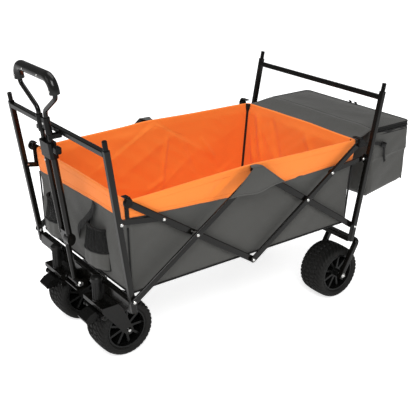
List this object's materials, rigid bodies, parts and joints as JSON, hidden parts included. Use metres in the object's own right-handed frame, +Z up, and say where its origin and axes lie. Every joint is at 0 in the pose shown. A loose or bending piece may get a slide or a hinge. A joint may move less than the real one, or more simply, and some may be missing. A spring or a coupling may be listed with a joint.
{
  "type": "folding wagon",
  "caption": "Folding wagon with a fabric basket in a scissor-tube frame, a telescopic pull handle, swivel front casters and a zipped rear bag",
  "frame": {"origin": "centre of the bounding box in X and Y, on the ground under the wheels", "axes": "+X forward towards the pull handle, +Y to the wagon's left, +Z up"},
  "size_m": [1.2266, 0.6206, 0.8457],
  "materials": {
    "frame_paint": "satin black powder coat",
    "rivet_steel": "bright zinc",
    "black_plastic": "moulded black",
    "grey_fabric": "dark grey polyester weave",
    "orange_fabric": "orange polyester weave",
    "tyre_rubber": "charcoal moulded tread",
    "grip_plastic": "satin grip moulding",
    "zip_band": "black zip tape"
  },
  "bodies": {
    "rear_frame": {"rear_post_left": "frame_paint", "rear_post_right": "frame_paint", "rear_top_bar": "frame_paint", "rear_lower_beam": "frame_paint", "rear_fork_left": "frame_paint", "rear_fork_right": "frame_paint", "rear_canopy_plugs": "black_plastic", "rear_frame_rivets": "rivet_steel", "rear_axle_bolts": "rivet_steel", "storage_bag_body": "grey_fabric", "storage_bag_apron": "grey_fabric", "storage_bag_zipper": "zip_band", "basket_shell": "grey_fabric", "basket_liner": "orange_fabric", "front_pocket_left": "grey_fabric", "front_pocket_right": "grey_fabric"},
    "bag_lid": {"storage_bag_lid": "grey_fabric"},
    "rear_lower_tubes": {"rear_lower_tube_left": "frame_paint", "rear_lower_tube_right": "frame_paint"},
    "rear_upper_tubes": {"rear_upper_tube_left": "frame_paint", "rear_upper_tube_right": "frame_paint", "rear_corner_hubs": "black_plastic", "rear_tube_rivets": "rivet_steel"},
    "front_upper_tubes": {"front_upper_tube_left": "frame_paint", "front_upper_tube_right": "frame_paint", "front_corner_hubs": "black_plastic", "front_cross_rivets": "rivet_steel"},
    "front_lower_tubes": {"front_lower_tube_left": "frame_paint", "front_lower_tube_right": "frame_paint"},
    "mid_blocks": {"mid_hubs": "black_plastic", "mid_flaps": "grey_fabric"},
    "front_frame": {"front_post_left": "frame_paint", "front_post_right": "frame_paint", "front_top_bar": "frame_paint", "front_lower_beam": "frame_paint", "front_canopy_plugs": "black_plastic", "front_frame_rivets": "rivet_steel", "handle_clip": "black_plastic", "caster_housings": "black_plastic"},
    "front_link_pair": {"front_links": "frame_paint"},
    "rear_link_pair": {"rear_links": "frame_paint"},
    "caster_left": {"caster_fork_left": "frame_paint"},
    "caster_right": {"caster_fork_right": "frame_paint"},
    "brake_left": {"brake_pedal_left": "black_plastic"},
    "brake_right": {"brake_pedal_right": "black_plastic"},
    "front_wheel_left": {"front_tyre_left": "tyre_rubber", "front_rim_left": "black_plastic"},
    "front_wheel_right": {"front_tyre_right": "tyre_rubber", "front_rim_right": "black_plastic"},
    "rear_wheel_left": {"rear_tyre_left": "tyre_rubber", "rear_rim_left": "black_plastic"},
    "rear_wheel_right": {"rear_tyre_right": "tyre_rubber", "rear_rim_right": "black_plastic"},
    "handle_lower": {"handle_outer_frame": "frame_paint", "handle_collar": "black_plastic"},
    "handle_screw": {"handle_knob": "black_plastic"},
    "handle_upper": {"handle_inner_tubes": "frame_paint", "handle_upper_collar": "black_plastic", "handle_loop": "frame_paint", "handle_grip": "grip_plastic"}
  },
  "joints": [
    {"name": "fold", "type": "hinge", "parent": "rear_frame", "child": "rear_lower_tubes", "pos_m": [-0.3309, 0, 0.2495], "axis": [0, -1, 0], "range_deg": [0, 53.77], "deforming": ["basket_shell", "basket_liner", "front_pocket_left", "front_pocket_right"]},
    {"name": "rear_scissor", "type": "hinge", "parent": "rear_lower_tubes", "child": "rear_upper_tubes", "pos_m": [-0.12325, 0, 0.39025], "axis": [0, -1, 0], "range_deg": [-91.75, 0]},
    {"name": "middle_lower_pivot", "type": "hinge", "parent": "rear_upper_tubes", "child": "front_upper_tubes", "pos_m": [0.0844, 0, 0.2495], "axis": [0, -1, 0], "range_deg": [0, 91.75]},
    {"name": "front_scissor", "type": "hinge", "parent": "front_upper_tubes", "child": "front_lower_tubes", "pos_m": [0.29205, 0, 0.39025], "axis": [0, -1, 0], "range_deg": [-91.75, 0]},
    {"name": "front_post_pivot", "type": "hinge", "parent": "front_lower_tubes", "child": "front_frame", "pos_m": [0.4997, 0, 0.2495], "axis": [0, -1, 0], "range_deg": [0, 50.08]},
    {"name": "middle_upper_pivot", "type": "hinge", "parent": "rear_lower_tubes", "child": "mid_blocks", "pos_m": [0.0844, 0, 0.531], "axis": [0, -1, 0], "range_deg": [-45.88, 0]},
    {"name": "front_link_pivot", "type": "hinge", "parent": "front_frame", "child": "front_link_pair", "pos_m": [0.5237, 0, 0.478], "axis": [0, -1, 0], "range_deg": [-90.59, 0]},
    {"name": "rear_link_pivot", "type": "hinge", "parent": "rear_frame", "child": "rear_link_pair", "pos_m": [-0.3589, 0, 0.472], "axis": [0, -1, 0], "range_deg": [0, 96.1]},
    {"name": "handle_tilt", "type": "hinge", "parent": "front_frame", "child": "handle_lower", "pos_m": [0.5257, 0, 0.198], "axis": [0, 1, 0], "range_deg": [0, 85]},
    {"name": "handle_slide", "type": "slide", "parent": "handle_lower", "child": "handle_upper", "axis": [0.1149, 0, 0.9934], "range_m": [0, 0.2]},
    {"name": "handle_knob_turn", "type": "hinge", "parent": "handle_lower", "child": "handle_screw", "pos_m": [0.57501, 0.041, 0.62416], "axis": [0, 1, 0], "range_deg": [-180, 180]},
    {"name": "caster_left_swivel", "type": "hinge", "parent": "front_frame", "child": "caster_left", "pos_m": [0.5207, 0.126, 0.22], "axis": [0, 0, 1], "continuous": true},
    {"name": "caster_right_swivel", "type": "hinge", "parent": "front_frame", "child": "caster_right", "pos_m": [0.5207, -0.126, 0.22], "axis": [0, 0, 1], "continuous": true},
    {"name": "brake_left_press", "type": "hinge", "parent": "caster_left", "child": "brake_left", "pos_m": [0.5287, 0.126, 0.155], "axis": [0, 1, 0], "range_deg": [-4, 3]},
    {"name": "brake_right_press", "type": "hinge", "parent": "caster_right", "child": "brake_right", "pos_m": [0.5287, -0.126, 0.155], "axis": [0, 1, 0], "range_deg": [-4, 3]},
    {"name": "front_wheel_left_spin", "type": "hinge", "parent": "caster_left", "child": "front_wheel_left", "pos_m": [0.4537, 0.126, 0.0889], "axis": [0, 1, 0], "continuous": true},
    {"name": "front_wheel_right_spin", "type": "hinge", "parent": "caster_right", "child": "front_wheel_right", "pos_m": [0.4537, -0.126, 0.0889], "axis": [0, 1, 0], "continuous": true},
    {"name": "rear_wheel_left_spin", "type": "hinge", "parent": "rear_frame", "child": "rear_wheel_left", "pos_m": [-0.2836, 0.237, 0.0889], "axis": [0, 1, 0], "continuous": true},
    {"name": "rear_wheel_right_spin", "type": "hinge", "parent": "rear_frame", "child": "rear_wheel_right", "pos_m": [-0.2836, -0.237, 0.0889], "axis": [0, 1, 0], "continuous": true},
    {"name": "bag_lid_hinge", "type": "hinge", "parent": "rear_frame", "child": "bag_lid", "pos_m": [-0.4309, 0, 0.5434], "axis": [0, 1, 0], "range_deg": [0, 88]}
  ],
  "couplings": [
    {"joint": "rear_scissor", "follows": "fold", "ratio": -1.7062},
    {"joint": "middle_lower_pivot", "follows": "fold", "ratio": 1.7062},
    {"joint": "front_scissor", "follows": "fold", "ratio": -1.7062},
    {"joint": "front_post_pivot", "follows": "fold", "ratio": 0.93119},
    {"joint": "middle_upper_pivot", "follows": "fold", "ratio": -0.85308},
    {"joint": "front_link_pivot", "follows": "fold", "ratio": -1.6846},
    {"joint": "rear_link_pivot", "follows": "fold", "ratio": 1.787}
  ]
}
